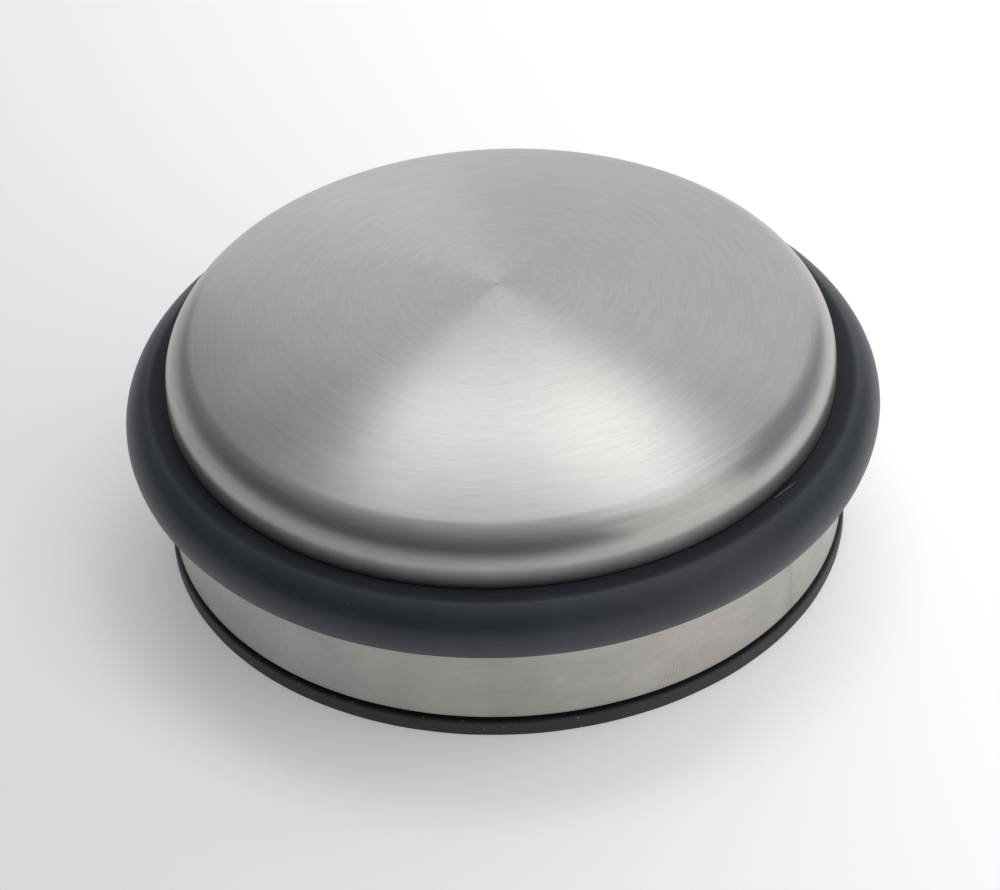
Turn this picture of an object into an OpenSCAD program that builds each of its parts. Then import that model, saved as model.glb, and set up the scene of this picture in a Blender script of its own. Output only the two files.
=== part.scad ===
// Free-standing door stop: a brushed steel dome over a cast-iron weight, with a
// round rubber bumper ring trapped in the waist between the dome and a steel band.
// It stands on a rubber pad. Z = 0 is the floor and +Z is the axis of the dome.

/* [Body] */
// Outside diameter of the lower band
body_d = 100; // [90:1:130]
// How much smaller the dome is than the band, in diameter
cap_inset = 1.5; // [1.3:0.1:2]
// Height of the dome's crown above the floor
total_h = 42.5; // [42:0.5:46]
// Thickness of the pressed steel of the dome
cap_t = 0.8; // [0.6:0.1:1]
// Outside radius of the dome's rounded shoulder
shoulder_r = 6.25; // [5.75:0.25:7]
// Height of the dome's straight skirt below the shoulder
skirt_h = 3; // [2.6:0.1:3.2]
// Radius of the deburred outer corner of the skirt's cut edge
edge_r = 0.4; // [0.3:0.1:0.6]
// Thickness of the rolled steel of the lower band
band_t = 1; // [0.8:0.1:1.2]

/* [Bumper ring] */
// Diameter of the ring's round cord
cord_d = 10; // [9:0.5:10]
// Height of the middle of the cord above the floor
ring_z = 21.4; // [21.4:0.1:21.6]
// Depth of the waist that the ring sits in, measured from the body's outside
waist_depth = 4.3; // [4.2:0.1:4.6]

/* [Base] */
// Diameter of the rubber pad
pad_d = 101; // [92:1:134]
// Thickness of the rubber pad
pad_t = 2.4; // [2:0.1:2.8]
// Chamfer along the pad's top and bottom edges
pad_chamfer = 0.4; // [0.2:0.1:0.6]
// Number of concentric grip grooves under the pad
groove_count = 4; // [0:1:5]
// Diameter of the adhesive foam tape between the pad and the base plate
tape_d = 97; // [80:1:97]
// Thickness of the tape, which is the height of the dark gap around it
tape_t = 0.6; // [0.4:0.1:0.8]
// Thickness of the steel base plate
plate_t = 3; // [3:0.1:3.5]

/* [Fixing] */
// Nominal diameter of the clamp screw
screw_d = 6; // [5:1:6]
// Overall length of the countersunk clamp screw
screw_l = 35; // [32:1:36]
// Width across flats of the screw's hexagon socket
socket_af = 4; // [3:1:4]
// Outside diameter of the threaded boss welded under the crown
boss_d = 14; // [12:1:16]
// Length of the threaded boss
boss_l = 12; // [10:1:13]
// Thickness of the foam liner between the weight and the dome
liner_t = 1.5; // [1:0.1:2]

/* [Hidden] */
$fn = 128;

// Colours
steel = [0.72, 0.71, 0.69];
zinc = [0.66, 0.67, 0.66];
iron = [0.26, 0.26, 0.27];
rubber = [0.13, 0.14, 0.16];
foam = [0.36, 0.37, 0.38];
black_foam = [0.1, 0.1, 0.11];

// Heights of the stack, from the floor up
tape_z = pad_t;
plate_z = tape_z + tape_t;
core_z = plate_z + plate_t;
ring_gap = 0.25;
band_top_z = ring_z - cord_d / 2 - ring_gap;

// Radii from the axis
body_r = body_d / 2;
fit = 0.1;
cap_r = body_r - cap_inset / 2;
waist_r = body_r - waist_depth;
ring_r = waist_r + cord_d / 2;
core_r = waist_r - fit / 2;
flange_r = body_r - band_t - fit;
shoulder_cx = cap_r - shoulder_r;
edge_cx = cap_r - edge_r;

// The skirt's rounded edge rests on the ring's round top
edge_play = 0.02;
edge_z = ring_z + sqrt(pow(cord_d / 2 + edge_r + edge_play, 2) - pow(ring_r - edge_cx, 2));
skirt_z = edge_z - edge_r;
shoulder_z = skirt_z + skirt_h;

// Sphere of the crown, tangent inside to the shoulder's arc and through the top
crown_drop = total_h - shoulder_z;
crown_r = (pow(shoulder_cx, 2) + pow(crown_drop, 2) - pow(shoulder_r, 2))
    / (2 * (crown_drop - shoulder_r));
crown_cz = total_h - crown_r;
crown_angle = atan(shoulder_cx / (shoulder_z - crown_cz));

// Weight inside the dome
core_edge_z = shoulder_z + 1.4;
core_chamfer = 4.6;
liner_inner_r = boss_d / 2 + 3;
liner_outer_r = 37;
boss_clearance = 0.6;
boss_top_z = crown_cz + crown_r - cap_t;
boss_z = boss_top_z - boss_l;

// Countersunk screw and the grooves of the pad
screw_head_r = screw_d;
screw_head_h = screw_head_r - screw_d / 2;
socket_depth = 2.4;
screw_play = 0.1;
core_hole_r = screw_d / 2 + 0.4;
groove_w = 1.6;
groove_depth = 0.8;
groove_pitch = 9;
first_groove_r = 12;

// Everything below a sphere of the crown's centre, as a disc-shaped solid
module under_crown(radius, outer_r, bottom_z) {
    intersection() {
        translate([0, 0, crown_cz]) sphere(r = radius);
        translate([0, 0, bottom_z]) cylinder(r = outer_r, h = total_h);
    }
}

// Half profile of the dome, filled down to its edge, inset by the sheet's thickness
module dome_profile(inset) {
    // crown, as far as the shoulder
    intersection() {
        translate([0, crown_cz]) circle(r = crown_r - inset, $fn = 720);
        polygon([
            [0, shoulder_z],
            [shoulder_cx, shoulder_z],
            [shoulder_cx + (total_h - shoulder_z) * tan(crown_angle), total_h],
            [0, total_h]
        ]);
    }
    // shoulder
    intersection() {
        translate([shoulder_cx, shoulder_z]) circle(r = shoulder_r - inset);
        translate([0, shoulder_z]) square([body_r, shoulder_r]);
    }
    // skirt
    translate([0, edge_z]) square([cap_r - inset, shoulder_z - edge_z]);
}

// Half profile of the skirt's cut edge, with its outer corner rounded
module edge_profile() {
    translate([edge_cx, edge_z]) circle(r = edge_r);
    translate([0, skirt_z]) square([edge_cx, edge_r]);
}

// Dome: pressed sheet with a rounded shoulder, a short skirt and an open underside
module top_cap() {
    color(steel) rotate_extrude() difference() {
        union() {
            dome_profile(0);
            edge_profile();
        }
        dome_profile(cap_t);
        translate([0, skirt_z - 1]) square([cap_r - cap_t, edge_r + 2]);
    }
}

// Threaded boss welded under the middle of the crown
module cap_boss() {
    color(zinc) difference() {
        under_crown(crown_r - cap_t, boss_d / 2, boss_z);
        translate([0, 0, boss_z - 1]) cylinder(d = screw_d, h = boss_l - 1);
    }
}

// Foam disc that stops the thin dome from ringing on the weight
module crown_liner() {
    color(foam) difference() {
        under_crown(crown_r - cap_t, liner_outer_r, core_edge_z);
        translate([0, 0, crown_cz]) sphere(r = crown_r - cap_t - liner_t);
        cylinder(r = liner_inner_r, h = total_h);
    }
}

// Cast-iron weight: a drum with a domed top and a flange that fills the band
module core_weight() {
    color(iron) difference() {
        union() {
            intersection() {
                under_crown(crown_r - cap_t - liner_t, core_r, core_z);
                rotate_extrude() polygon([
                    [0, core_z],
                    [core_r, core_z],
                    [core_r, core_edge_z],
                    [core_r - core_chamfer, core_edge_z + core_chamfer],
                    [core_r - core_chamfer, total_h],
                    [0, total_h]
                ]);
            }
            translate([0, 0, core_z]) cylinder(r = flange_r, h = band_top_z - core_z);
        }
        cylinder(r = core_hole_r, h = total_h);
        translate([0, 0, boss_z - boss_clearance])
            cylinder(r = boss_d / 2 + boss_clearance, h = total_h);
    }
}

// Round rubber ring in the waist
module bumper_ring() {
    color(rubber) rotate_extrude() translate([ring_r, ring_z]) circle(d = cord_d);
}

// Rolled steel strip around the flange of the weight
module lower_band() {
    color(steel) difference() {
        translate([0, 0, plate_z]) cylinder(d = body_d, h = band_top_z - plate_z);
        translate([0, 0, plate_z - 1]) cylinder(r = body_r - band_t, h = band_top_z);
    }
}

// Steel disc that closes the underside, flush with the band's lower edge
module base_plate() {
    color(zinc) difference() {
        translate([0, 0, plate_z]) cylinder(r = flange_r, h = plate_t);
        cylinder(r = core_hole_r, h = core_z + 1);
        translate([0, 0, plate_z])
            cylinder(r1 = screw_head_r + screw_play, r2 = screw_d / 2 + screw_play, h = screw_head_h);
    }
}

// Countersunk screw that pulls the dome down onto the weight
module clamp_screw() {
    shank_r = (screw_d - screw_play) / 2;
    color(zinc) difference() {
        union() {
            translate([0, 0, plate_z]) cylinder(r1 = screw_head_r, r2 = screw_d / 2, h = screw_head_h);
            translate([0, 0, plate_z]) cylinder(r = shank_r, h = screw_l);
        }
        translate([0, 0, plate_z - 1])
            cylinder(d = socket_af / cos(30), h = socket_depth + 1, $fn = 6);
    }
}

// Die-cut ring of double-sided foam tape that holds the pad, set in from its edge
module pad_tape() {
    color(black_foam) difference() {
        translate([0, 0, tape_z]) cylinder(d = tape_d, h = tape_t);
        translate([0, 0, tape_z - 1]) cylinder(r = screw_head_r + 2, h = tape_t + 2);
    }
}

// Rubber pad with chamfered edges and concentric grip grooves underneath
module base_pad() {
    pad_r = pad_d / 2;
    color(rubber) difference() {
        rotate_extrude() polygon([
            [0, 0],
            [pad_r - pad_chamfer, 0],
            [pad_r, pad_chamfer],
            [pad_r, pad_t - pad_chamfer],
            [pad_r - pad_chamfer, pad_t],
            [0, pad_t]
        ]);
        for (i = [0:1:groove_count - 1])
            grip_groove(first_groove_r + i * groove_pitch);
    }
}

module grip_groove(radius) {
    translate([0, 0, -1]) difference() {
        cylinder(r = radius + groove_w / 2, h = groove_depth + 1);
        cylinder(r = radius - groove_w / 2, h = groove_depth + 1);
    }
}

top_cap();
cap_boss();
crown_liner();
core_weight();
bumper_ring();
lower_band();
base_plate();
clamp_screw();
pad_tape();
base_pad();
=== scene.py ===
import math

import bmesh
import bpy
from mathutils import Matrix, Vector, noise


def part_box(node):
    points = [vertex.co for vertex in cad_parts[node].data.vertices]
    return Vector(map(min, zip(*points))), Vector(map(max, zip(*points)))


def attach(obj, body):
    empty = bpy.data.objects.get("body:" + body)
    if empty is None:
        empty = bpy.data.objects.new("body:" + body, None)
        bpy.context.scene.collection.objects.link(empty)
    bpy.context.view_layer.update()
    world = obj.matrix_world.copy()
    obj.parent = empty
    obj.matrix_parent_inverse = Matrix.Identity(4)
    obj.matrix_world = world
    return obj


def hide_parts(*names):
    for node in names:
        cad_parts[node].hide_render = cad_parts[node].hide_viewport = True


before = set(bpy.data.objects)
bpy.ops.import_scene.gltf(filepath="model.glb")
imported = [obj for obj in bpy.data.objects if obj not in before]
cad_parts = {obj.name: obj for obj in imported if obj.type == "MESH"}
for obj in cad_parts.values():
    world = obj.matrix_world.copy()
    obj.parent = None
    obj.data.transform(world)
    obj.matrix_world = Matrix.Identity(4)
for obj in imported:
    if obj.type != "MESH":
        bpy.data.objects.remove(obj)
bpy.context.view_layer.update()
MM = 0.001

# ---------------------------------------------------------------- sizes, in metres
cap_low, cap_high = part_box("top_cap")
ring_low, ring_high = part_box("bumper_ring")
band_low, band_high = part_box("lower_band")
pad_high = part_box("base_pad")[1]

# dome
TOTAL_H = cap_high.z
CAP_R = cap_high.x
SKIRT_Z = cap_low.z
SHEET_T = 0.8 * MM
SHOULDER_R = 6.25 * MM
SKIRT_H = 3 * MM
SKIRT_EDGE_R = 0.4 * MM

# bumper ring, and the flash mark on it
CORD_R = (ring_high.z - ring_low.z) / 2
RING_Z = (ring_high.z + ring_low.z) / 2
RING_R = ring_high.x - CORD_R
NIB_LENGTH = 5.4 * MM
NIB_W = 0.8 * MM
NIB_H = 0.42 * MM
# where the middle of the mark is on the cord's section, and how far its ends turn off it
NIB_SECTION = math.radians(97.5)
NIB_SLANT = math.radians(3.8)

# lower band
BODY_R = band_high.x
BAND_MID_Z = (band_low.z + band_high.z) / 2
BAND_T = 1 * MM
BAND_EDGE_R = 0.25 * MM
WELD_W = 0.15 * MM
WELD_DEPTH = 0.06 * MM
RIPPLE_PITCH = 0.55 * MM
RIPPLE_PATCH = 3.6 * MM
# how far the ripples and their patch lean along the band, for each unit up it
RIPPLE_LEAN = 0.22
PATCH_LEAN = 0.95

# pad
PAD_R = pad_high.x
PAD_T = pad_high.z
PAD_EDGE_R = 0.35 * MM
PAD_BOTTOM_R = 0.25 * MM
PAD_WANDER = 0.04 * MM
# bends of the wandering edge: over a radius, and per metre of height
BENDS_ROUND = 9
BENDS_UP = 150
GROOVE_W = 1.6 * MM
GROOVE_DEPTH = 0.8 * MM
GROOVE_PITCH = 9 * MM
FIRST_GROOVE_R = 12 * MM
GROOVE_COUNT = 4

# azimuths seen from above, counter-clockwise from +X
SEAM_AZIMUTH = math.radians(-36.3)
NIB_AZIMUTH = math.radians(-38.2)
RIPPLE_AZIMUTH = math.radians(-58)
BRIGHT_SIDE = math.radians(19)

# camera
EYE = (-0.7 * MM, -522.6 * MM, 425.2 * MM)
EYE_ELEVATION = math.radians(38.28)
EYE_ROLL = math.radians(-2.92)
SENSOR_MM = 36
LENS_MM = 160.7

STEPS_ROUND = 360
EVEN_ANGLES = [2 * math.pi * i / STEPS_ROUND for i in range(STEPS_ROUND)]
# two points that are closer than this are one
TINY = 1e-7


# ---------------------------------------------------------------- shapes
def arc(cx, cz, radius, start, end, steps):
    """Points on a circle in the (r, z) plane, from start to end in degrees."""
    points = []
    for i in range(steps + 1):
        a = math.radians(start + (end - start) * i / steps)
        points.append((cx + radius * math.cos(a), cz + radius * math.sin(a)))
    return points


def upright(r, start, end, steps):
    """Points between the two ends of an upright line, without the ends."""
    return [(r, start + (end - start) * i / steps) for i in range(1, steps)]


def clean(profile):
    """The outline without points that repeat."""
    kept = []
    for p in profile:
        if not kept or math.dist(p, kept[-1]) > TINY:
            kept.append(p)
    if math.dist(kept[0], kept[-1]) < TINY:
        kept.pop()
    return kept


def make_piece(name, mesh):
    """Puts a finished bmesh in the scene as a smooth-shaded object."""
    bmesh.ops.recalc_face_normals(mesh, faces=mesh.faces)
    data = bpy.data.meshes.new(name)
    mesh.to_mesh(data)
    mesh.free()
    for polygon in data.polygons:
        polygon.use_smooth = True
    piece = bpy.data.objects.new(name, data)
    bpy.context.scene.collection.objects.link(piece)
    return piece


def lathe(name, profile, angles=EVEN_ANGLES, warp=None):
    """Turns a closed outline of (r, z) points about Z. Points on the axis become one vertex."""
    profile = clean(profile)
    mesh = bmesh.new()
    poles = {}
    columns = []
    for a in angles:
        column = []
        for k, (r, z) in enumerate(profile):
            if r < TINY:
                if k not in poles:
                    poles[k] = mesh.verts.new((0, 0, z))
                column.append(poles[k])
                continue
            if warp:
                r = warp(a, r, z)
            column.append(mesh.verts.new((r * math.cos(a), r * math.sin(a), z)))
        columns.append(column)
    for i, column in enumerate(columns):
        other = columns[(i + 1) % len(columns)]
        for k in range(len(profile)):
            j = (k + 1) % len(profile)
            corners = []
            for v in (column[k], other[k], other[j], column[j]):
                if v not in corners:
                    corners.append(v)
            if len(corners) > 2:
                mesh.faces.new(corners)
    return make_piece(name, mesh)


def dome_profile():
    """Pressed sheet: sphere of the crown, tangent to the shoulder's arc, and a straight skirt."""
    shoulder_z = SKIRT_Z + SKIRT_H
    shoulder_x = CAP_R - SHOULDER_R
    drop = TOTAL_H - shoulder_z
    crown_r = (shoulder_x**2 + drop**2 - SHOULDER_R**2) / (2 * (drop - SHOULDER_R))
    crown_z = TOTAL_H - crown_r
    tilt = math.degrees(math.atan2(shoulder_x, shoulder_z - crown_z))

    def skin(inset):
        points = arc(0, crown_z, crown_r - inset, 90, 90 - tilt, 40)
        return points + arc(shoulder_x, shoulder_z, SHOULDER_R - inset, 90 - tilt, 0, 36)

    edge_z = SKIRT_Z + SKIRT_EDGE_R
    outside = skin(0) + upright(CAP_R, shoulder_z, edge_z, 6)
    outside += arc(CAP_R - SKIRT_EDGE_R, edge_z, SKIRT_EDGE_R, 0, -90, 6)
    inside = skin(SHEET_T) + [(CAP_R - SHEET_T, SKIRT_Z)]
    return outside + inside[::-1]


def band_profile():
    """Strip with both outer edges rounded."""
    low, high, edge = band_low.z, band_high.z, BAND_EDGE_R
    outside = arc(BODY_R - edge, low + edge, edge, -90, 0, 5)
    outside += upright(BODY_R, low, high, 12)
    outside += arc(BODY_R - edge, high - edge, edge, 0, 90, 5)
    return outside + [(BODY_R - BAND_T, high), (BODY_R - BAND_T, low)]


def pad_profile():
    """Disc with grip grooves underneath and rounded edges."""
    points = [(0, 0)]
    for i in range(GROOVE_COUNT):
        r = FIRST_GROOVE_R + i * GROOVE_PITCH
        inner, outer = r - GROOVE_W / 2, r + GROOVE_W / 2
        points += [(inner, 0), (inner, GROOVE_DEPTH), (outer, GROOVE_DEPTH), (outer, 0)]
    points += arc(PAD_R - PAD_BOTTOM_R, PAD_BOTTOM_R, PAD_BOTTOM_R, -90, 0, 5)
    points += arc(PAD_R - PAD_EDGE_R, PAD_T - PAD_EDGE_R, PAD_EDGE_R, 0, 90, 6)
    return points + [(0, PAD_T)]


def band_angles():
    """Even steps round the band, with close steps at the weld."""
    width = WELD_W / BODY_R
    close = [SEAM_AZIMUTH + width * k for k in (-1, -0.5, 0, 0.5, 1)]
    return close + [SEAM_AZIMUTH + a for a in EVEN_ANGLES[1:]]


def weld_groove(a, r, z):
    """The outer face dips along the middle of the weld, in a V as wide as the weld."""
    outer = r > BODY_R - BAND_T / 2
    middle = abs(a - SEAM_AZIMUTH) * BODY_R < WELD_W / 4
    return r - WELD_DEPTH if outer and middle else r


def cut_edge(a, r, z):
    """The knife wanders by a few hundredths of a millimetre along the pad's outline."""
    if r < PAD_R - 2 * MM:
        return r
    p = Vector((math.cos(a) * BENDS_ROUND, math.sin(a) * BENDS_ROUND, z * BENDS_UP))
    return r + (noise.noise(p) - 1) * PAD_WANDER


def nib():
    """Short flash mark left by the mould, on top of the ring next to the dome."""
    steps_long, steps_round = 24, 12
    mesh = bmesh.new()
    rows = []
    for i in range(steps_long + 1):
        t = -1 + 2 * i / steps_long
        # closed at both ends, and thicker towards one of them
        swell = math.sqrt(max(0.0, 1 - t**4)) * (0.75 + 0.25 * t)
        a = NIB_AZIMUTH + t * NIB_LENGTH / 2 / RING_R
        row = []
        for k in range(steps_round):
            b = 2 * math.pi * k / steps_round
            across = math.cos(b) * NIB_W / 2 * swell
            out = CORD_R + math.sin(b) * NIB_H * swell
            section = NIB_SECTION - t * NIB_SLANT - across / CORD_R
            r = RING_R + out * math.cos(section)
            z = RING_Z + out * math.sin(section)
            row.append(mesh.verts.new((r * math.cos(a), r * math.sin(a), z)))
        rows.append(row)
    for row, other in zip(rows, rows[1:]):
        for k in range(steps_round):
            j = (k + 1) % steps_round
            mesh.faces.new((row[k], row[j], other[j], other[k]))
    bmesh.ops.remove_doubles(mesh, verts=mesh.verts, dist=TINY)
    return make_piece("ring_nib", mesh)


# ---------------------------------------------------------------- materials
class Nodes:
    """Short calls for building one material's or one world's nodes."""

    def __init__(self, owner, shader="Principled BSDF"):
        owner.use_nodes = True
        self.owner = owner
        self.tree = owner.node_tree
        self.shader = self.tree.nodes[shader]

    def add(self, kind, **settings):
        node = self.tree.nodes.new(kind)
        for key, value in settings.items():
            setattr(node, key, value)
        return node

    def feed(self, socket, value):
        """Sets a socket to a number or a colour, or links another node's output to it."""
        if isinstance(value, (int, float)):
            socket.default_value = value
        elif isinstance(value, tuple):
            socket.default_value = (*value, 1)
        else:
            self.tree.links.new(value, socket)

    def out(self, name, value):
        """Feeds a socket of the shader."""
        self.feed(self.shader.inputs[name], value)

    def math(self, operation, *values, clamp=False):
        node = self.add("ShaderNodeMath", operation=operation, use_clamp=clamp)
        for socket, value in zip(node.inputs, values):
            self.feed(socket, value)
        return node.outputs[0]

    def total(self, *parts):
        """Sum of values, each given with its weight."""
        result = 0
        for value, weight in parts:
            result = self.math("ADD", self.math("MULTIPLY", value, weight), result)
        return result

    def peak(self, value, center, width):
        """1 where the value is at the centre, falling evenly to 0 at the width."""
        away = self.math("ABSOLUTE", self.math("SUBTRACT", value, center))
        return self.math("SUBTRACT", 1, self.math("DIVIDE", away, width), clamp=True)

    def split(self, vector):
        """The vector's x, y and z."""
        node = self.add("ShaderNodeSeparateXYZ")
        self.feed(node.inputs[0], vector)
        return node.outputs

    def noise(self, vector, scale, detail, roughness):
        node = self.add("ShaderNodeTexNoise")
        self.feed(node.inputs["Scale"], scale)
        self.feed(node.inputs["Detail"], detail)
        self.feed(node.inputs["Roughness"], roughness)
        self.feed(node.inputs["Vector"], vector)
        return node.outputs["Fac"]

    def ramp(self, value, low, dark, high, light):
        """Colour that goes from dark where the value is low to light where it is high."""
        node = self.add("ShaderNodeValToRGB")
        stops = zip(node.color_ramp.elements, (low, high), (dark, light))
        for element, position, color in stops:
            element.position = position
            element.color = (*color, 1)
        self.feed(node.inputs["Fac"], value)
        return node.outputs["Color"]

    def spread(self, value, low, high):
        """Maps 0..1 to low..high."""
        node = self.add("ShaderNodeMapRange")
        self.feed(node.inputs["Value"], value)
        self.feed(node.inputs["To Min"], low)
        self.feed(node.inputs["To Max"], high)
        return node.outputs["Result"]

    def blend(self, color, other, amount):
        """The colour, mixed towards a fixed one by the amount."""
        node = self.add("ShaderNodeMix", data_type="RGBA")
        # a mix node has more inputs of the same names: these three are the ones for colours
        factor, first, second = (node.inputs[i] for i in (0, 6, 7))
        self.feed(factor, amount)
        self.feed(first, color)
        self.feed(second, other)
        return node.outputs[2]

    def bump(self, height, strength, distance, normal=None):
        node = self.add("ShaderNodeBump")
        self.feed(node.inputs["Strength"], strength)
        self.feed(node.inputs["Distance"], distance)
        self.feed(node.inputs["Height"], height)
        if normal is not None:
            self.feed(node.inputs["Normal"], normal)
        return node.outputs["Normal"]

    def position(self):
        """The point on the piece, in metres."""
        return self.add("ShaderNodeTexCoord").outputs["Object"]

    def locate(self):
        """Sets where the point lies about the axis: x, y, z, radius, cos_a and sin_a."""
        self.x, self.y, self.z = self.split(self.position())
        squares = [self.math("MULTIPLY", side, side) for side in (self.x, self.y)]
        self.radius = self.math("SQRT", self.math("ADD", *squares))
        safe = self.math("MAXIMUM", self.radius, 0.01 * MM)
        self.cos_a = self.math("DIVIDE", self.x, safe)
        self.sin_a = self.math("DIVIDE", self.y, safe)

    def streaks(self, across, pitch, drift, detail, roughness):
        """Brush lines: noise that changes quickly across them and slowly round the axis."""
        vector = self.add("ShaderNodeCombineXYZ")
        rates = ((across, pitch), (self.cos_a, drift), (self.sin_a, drift))
        for socket, (value, rate) in zip(vector.inputs, rates):
            self.feed(socket, self.math("MULTIPLY", value, rate))
        return self.noise(vector.outputs[0], 1, detail, roughness)


def set_brushed(n, anisotropy):
    """Metal whose highlights stretch across lines that run round the axis."""
    n.out("Metallic", 1.0)
    n.out("Anisotropic", anisotropy)
    n.out("Anisotropic Rotation", 0.25)
    n.out("Tangent", n.add("ShaderNodeTangent", direction_type="RADIAL", axis="Z").outputs[0])


def brushed_dome():
    n = Nodes(bpy.data.materials.new("dome_steel"))
    n.locate()
    fine = n.streaks(n.radius, pitch=3400, drift=6, detail=4, roughness=0.7)
    broad = n.streaks(n.radius, pitch=1100, drift=4, detail=3, roughness=0.6)
    lines = n.total((fine, 0.65), (broad, 0.35))
    cloud = n.noise(n.position(), scale=45, detail=2, roughness=0.5)
    tone = n.total((lines, 0.8), (cloud, 0.2))
    steel = n.ramp(tone, 0.3, (0.398, 0.385, 0.366), 0.7, (0.519, 0.502, 0.477))
    # small mark where the turning ends at the crown
    mark = n.math("MULTIPLY", n.peak(n.radius, 0, 0.4 * MM), 0.6)
    n.out("Base Color", n.blend(steel, (0.2, 0.195, 0.185), mark))
    n.out("Roughness", n.spread(broad, 0.29, 0.325))
    n.out("Normal", n.bump(lines, strength=0.19, distance=0.02 * MM))
    set_brushed(n, 0.67)
    return n.owner


def along_band(n, azimuth):
    """Distance round the band from the azimuth, in metres, on that side of the band."""
    return n.total((n.y, math.cos(azimuth)), (n.x, -math.sin(azimuth)))


def chatter(n, marked_half):
    """Marks from the rolls: upright ripples, -1 to 1, in a patch that leans along the band."""
    along = along_band(n, RIPPLE_AZIMUTH)
    up = n.math("SUBTRACT", n.z, BAND_MID_Z)
    phase = n.total((along, 1), (up, -RIPPLE_LEAN))
    wave = n.math("SINE", n.math("MULTIPLY", phase, 2 * math.pi / RIPPLE_PITCH))
    patch = n.peak(n.total((along, 1), (up, -PATCH_LEAN)), 0, RIPPLE_PATCH)
    return n.math("MULTIPLY", wave, n.math("MULTIPLY", patch, marked_half))


def brushed_band():
    n = Nodes(bpy.data.materials.new("band_steel"))
    n.locate()
    # 1 on the half of the band that has the weld and the ripples, 0 on the other half
    marked_half = n.math("GREATER_THAN", n.x, 0)
    fine = n.streaks(n.z, pitch=5000, drift=14, detail=3, roughness=0.6)
    broad = n.streaks(n.z, pitch=300, drift=5, detail=3, roughness=0.6)
    lines = n.total((fine, 0.6), (broad, 0.4))
    cloud = n.noise(n.position(), scale=110, detail=4, roughness=0.65)
    ripples = chatter(n, marked_half)
    tone = n.total((lines, 0.5), (cloud, 0.5), (ripples, 0.12))
    steel = n.ramp(tone, 0.3, (0.418, 0.391, 0.361), 0.7, (0.612, 0.572, 0.527))
    # weld line, with a wider stain beside it where the heat was
    along = along_band(n, SEAM_AZIMUTH)
    weld = n.peak(along, 0, 0.22 * MM)
    heat = n.peak(along, -0.6 * MM, 1.6 * MM)
    stain = n.math("MULTIPLY", n.total((weld, 0.22), (heat, 0.10)), marked_half)
    n.out("Base Color", n.blend(steel, (0.10, 0.09, 0.085), stain))
    n.out("Roughness", n.spread(broad, 0.34, 0.42))
    relief = n.bump(ripples, strength=1.0, distance=0.012 * MM)
    n.out("Normal", n.bump(lines, strength=0.12, distance=0.02 * MM, normal=relief))
    set_brushed(n, 0.8)
    return n.owner


def rubber(name, dark, light, rough, grain=0.15, dust=0.0, specular=0.5, dull_shaded_heights=None):
    """Rubber or foam. Between the two given heights it turns duller upwards, and its colour darkens
    upwards as painted shade.
    """
    n = Nodes(bpy.data.materials.new(name))
    place = n.position()
    cloud = n.noise(place, scale=60, detail=3, roughness=0.5)
    speck = n.noise(place, scale=2600, detail=2, roughness=0.6)
    mix = n.total((cloud, 0.7), (speck, 0.3))
    color = n.ramp(mix, 0.35, dark, 0.65, light)
    roughness = n.spread(mix, *rough)
    if dust:
        # only the highest spots of a fine noise are dusty
        lint = n.noise(place, scale=1500, detail=1, roughness=0.5)
        here = n.math("MULTIPLY", n.math("SUBTRACT", lint, 0.74), 18, clamp=True)
        color = n.blend(color, (0.35, 0.34, 0.32), n.math("MULTIPLY", here, dust))
    if dull_shaded_heights:
        low, high = dull_shaded_heights
        z = n.split(place)[2]
        dull_and_shade = n.math("DIVIDE", n.math("SUBTRACT", z, low), high - low, clamp=True)
        roughness = n.total((roughness, 1), (dull_and_shade, 0.45))
        # painted shade: between the heights the colour is darkened towards near-black upwards
        color = n.blend(color, (0.004, 0.004, 0.004), n.math("MULTIPLY", dull_and_shade, 0.3))
    n.out("Base Color", color)
    n.out("Roughness", roughness)
    n.out("Specular IOR Level", specular)
    n.out("Normal", n.bump(speck, strength=grain, distance=0.04 * MM))
    return n.owner


def metal(name, dark, light, rough, scale, metallic=1.0, depth=0.03 * MM):
    """Cast or plated metal."""
    n = Nodes(bpy.data.materials.new(name))
    mix = n.noise(n.position(), scale, detail=5, roughness=0.6)
    n.out("Base Color", n.ramp(mix, 0.3, dark, 0.7, light))
    n.out("Metallic", metallic)
    n.out("Roughness", n.spread(mix, *rough))
    n.out("Normal", n.bump(mix, strength=0.4, distance=depth))
    return n.owner


# ---------------------------------------------------------------- pieces
def add_piece(piece, material, slot, *nodes, sharp=50):
    """Gives the piece its material and its place in the part, for the nodes it stands for.
    Edges sharper than the angle, in degrees, stay crisp under smooth shading."""
    piece.data.set_sharp_from_angle(angle=math.radians(sharp))
    piece.data.materials.append(material)
    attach(piece, "root")
    if nodes:
        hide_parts(*nodes)


# the ring turns dull close to the dome's skirt, and its colour darkens there as painted shade in the
# crevice under the skirt
ring_rubber = rubber("ring_rubber", (0.018, 0.025, 0.032), (0.032, 0.041, 0.051), (0.36, 0.48),
                     dust=0.08, specular=0.48,
                     dull_shaded_heights=(RING_Z + 0.935 * CORD_R, RING_Z + 0.985 * CORD_R))
pad_rubber = rubber("pad_rubber", (0.012, 0.012, 0.015), (0.020, 0.020, 0.024), (0.5, 0.62),
                    grain=0.4, dust=0.7, specular=0.65)
nib_rubber = rubber("nib_rubber", (0.014, 0.018, 0.023), (0.022, 0.027, 0.033), (0.2, 0.3))

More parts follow.
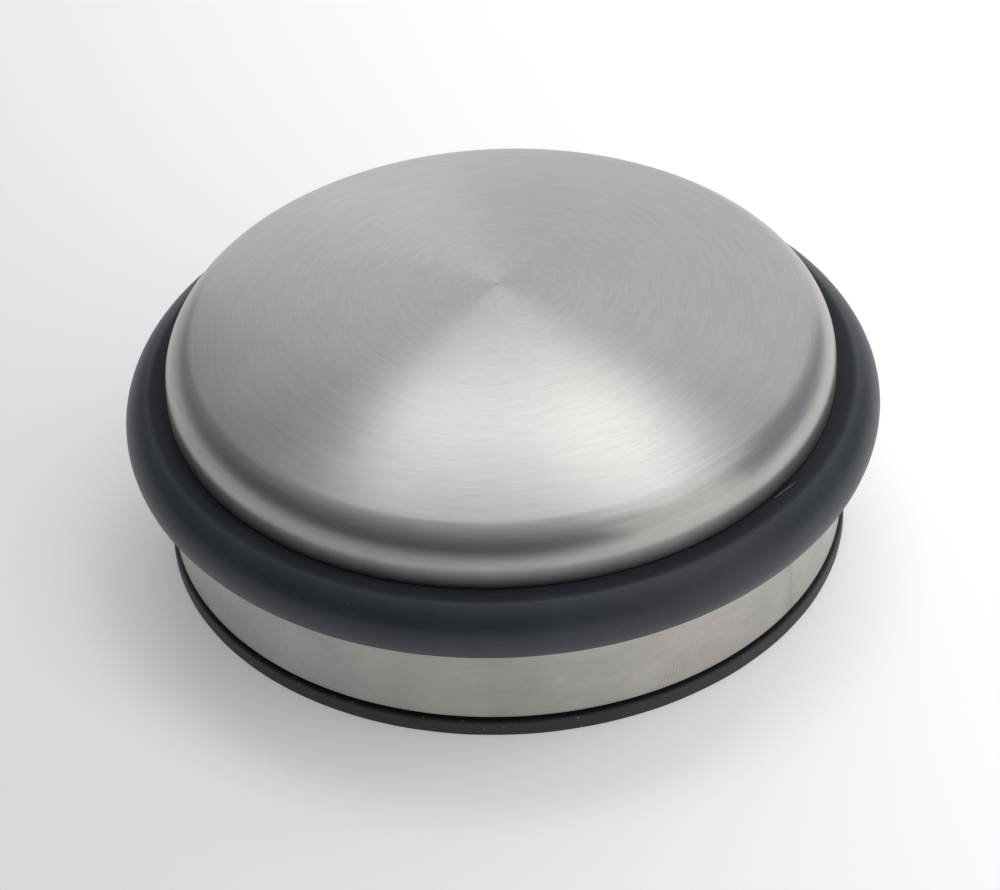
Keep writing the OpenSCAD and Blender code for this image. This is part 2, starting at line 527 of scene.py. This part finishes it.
add_piece(lathe("dome_shell", dome_profile()), brushed_dome(), "brushed_steel", "top_cap")
cord = arc(RING_R, RING_Z, CORD_R, 0, 360, 48)
add_piece(lathe("ring_rubber", cord), ring_rubber, "bumper_rubber", "bumper_ring")
band = lathe("band_strip", band_profile(), band_angles(), weld_groove)
add_piece(band, brushed_band(), "brushed_steel", "lower_band")
pad = lathe("pad_foot", pad_profile(), warp=cut_edge)
add_piece(pad, pad_rubber, "pad_rubber", "base_pad")
# the flash mark stands for no node, and is smooth all over
add_piece(nib(), nib_rubber, "bumper_rubber", sharp=180)

# pieces inside, which keep their CAD shape
hidden = {
    "core_weight": metal("rough_iron", (0.03, 0.03, 0.032), (0.09, 0.088, 0.085), (0.55, 0.8),
                         scale=900, metallic=0.6, depth=0.2 * MM),
    "base_plate": metal("zinc_plate", (0.40, 0.41, 0.40), (0.55, 0.56, 0.54), (0.3, 0.45), 500),
    "cap_boss": metal("zinc_boss", (0.38, 0.38, 0.37), (0.55, 0.55, 0.54), (0.3, 0.5), 700),
    "clamp_screw": metal("zinc_screw", (0.42, 0.43, 0.42), (0.6, 0.61, 0.6), (0.25, 0.4), 900),
    "crown_liner": rubber("foam_liner", (0.06, 0.062, 0.065), (0.12, 0.124, 0.13), (0.85, 0.95), 0.8),
    "pad_tape": rubber("foam_tape", (0.02, 0.02, 0.022), (0.035, 0.035, 0.037), (0.8, 0.9), 0.6),
}
for node, material in hidden.items():
    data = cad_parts[node].data
    data.materials.clear()
    data.materials.append(material)


# ---------------------------------------------------------------- stage, light and camera
def floor():
    """Pale paper floor with a painted glow: it emits light though it is no lamp, brighter to one side
    and warmer away from the part.
    """
    half = 4.0
    corners = [(-half, -half, 0), (half, -half, 0), (half, half, 0), (-half, half, 0)]
    mesh = bpy.data.meshes.new("floor")
    mesh.from_pydata(corners, [], [(0, 1, 2, 3)])
    piece = bpy.data.objects.new("floor", mesh)
    bpy.context.scene.collection.objects.link(piece)
    n = Nodes(bpy.data.materials.new("floor_paper"))
    n.locate()
    n.out("Base Color", (0.9, 0.9, 0.9))
    n.out("Roughness", 0.9)
    n.out("Specular IOR Level", 0.1)
    # painted glow: emission colour, white near the part and warmer away from it
    n.out("Emission Color", n.ramp(n.radius, 0.12, (1, 1, 1), 0.3, (1.0, 0.91, 0.83)))
    # painted glow under the part, its rise per metre towards the bright side, and its limit
    middle, rise, limit = 0.34, 2.0, 0.52
    side = n.total((n.x, math.cos(BRIGHT_SIDE)), (n.y, math.sin(BRIGHT_SIDE)))
    glow = n.math("ADD", n.math("MULTIPLY", side, rise), middle)
    n.out("Emission Strength", n.math("MINIMUM", n.math("MAXIMUM", glow, 0.0), limit))
    mesh.materials.append(n.owner)


def softbox(name, azimuth, elevation, half_wide, half_high, brightness, color=(1, 1, 1)):
    """Rectangular light facing the part. Angles are in degrees, as seen from the part."""
    distance = 3.0
    width = 2 * distance * math.tan(math.radians(half_wide))
    height = 2 * distance * math.tan(math.radians(half_high))
    light = bpy.data.lights.new(name, "AREA")
    light.shape = "RECTANGLE"
    light.size = width
    light.size_y = height
    light.energy = math.pi * width * height * brightness
    light.color = color
    lamp = bpy.data.objects.new(name, light)
    turn = Matrix.Rotation(math.radians(azimuth + 90), 4, "Z")
    tip = Matrix.Rotation(math.radians(90 - elevation), 4, "X")
    lamp.matrix_world = turn @ tip @ Matrix.Translation((0, 0, distance))
    lamp.visible_camera = False
    bpy.context.scene.collection.objects.link(lamp)


def studio():
    """Dim room, brighter overhead, to the back and right, with a low bright horizon that is
    brightest at the left."""
    dim, horizon_height, horizon_lean = 0.065, 0.08, 0.6
    room = bpy.data.worlds.new("studio")
    bpy.context.scene.world = room
    n = Nodes(room, "Background")
    x, y, z = n.split(n.add("ShaderNodeTexCoord").outputs["Generated"])
    height = n.math("DIVIDE", z, horizon_height)
    level = n.math("POWER", math.e, n.math("MULTIPLY", n.math("MULTIPLY", height, height), -1))
    lean = n.math("SUBTRACT", 1, n.math("MULTIPLY", x, horizon_lean))
    horizon = n.math("MULTIPLY", level, lean)
    overhead = n.math("POWER", n.math("MAXIMUM", z, 0), 4)
    back = n.math("MAXIMUM", y, 0)
    right = n.math("MAXIMUM", x, 0)
    glow = n.total((horizon, 0.53), (overhead, 0.485), (back, 0.224), (right, 0.235))
    n.out("Strength", n.math("ADD", glow, dim))
    n.out("Color", (0.91, 0.98, 1.07))


def camera():
    """The photo's camera, found from the outlines of dome, ring, band and pad."""
    data = bpy.data.cameras.new("camera")
    data.sensor_width = SENSOR_MM
    data.lens = LENS_MM
    data.clip_start = 10 * MM
    eye = bpy.data.objects.new("camera", data)
    bpy.context.scene.collection.objects.link(eye)
    eye.matrix_world = (
        Matrix.Translation(EYE)
        @ Matrix.Rotation(math.pi / 2 - EYE_ELEVATION, 4, "X")
        @ Matrix.Rotation(EYE_ROLL, 4, "Z")
    )
    bpy.context.scene.camera = eye


floor()
studio()
softbox("key_back", azimuth=83.5, elevation=63.5, half_wide=17, half_high=8.3, brightness=2.40)
softbox("key_warm", azimuth=69, elevation=62, half_wide=3, half_high=9, brightness=0.55,
        color=(1.0, 0.70, 0.60))
softbox("back_strip", azimuth=96, elevation=16, half_wide=4.5, half_high=14, brightness=0.22)
softbox("side_right", azimuth=-6, elevation=60.5, half_wide=16, half_high=14.2, brightness=1.02)
softbox("low_right", azimuth=-32, elevation=22.3, half_wide=20.9, half_high=24.5, brightness=0.71,
        color=(1.0, 0.95, 0.89))
softbox("back_panel", azimuth=82.6, elevation=27.5, half_wide=30.8, half_high=24, brightness=0.57)
camera()
bpy.context.scene.view_settings.view_transform = "Standard"
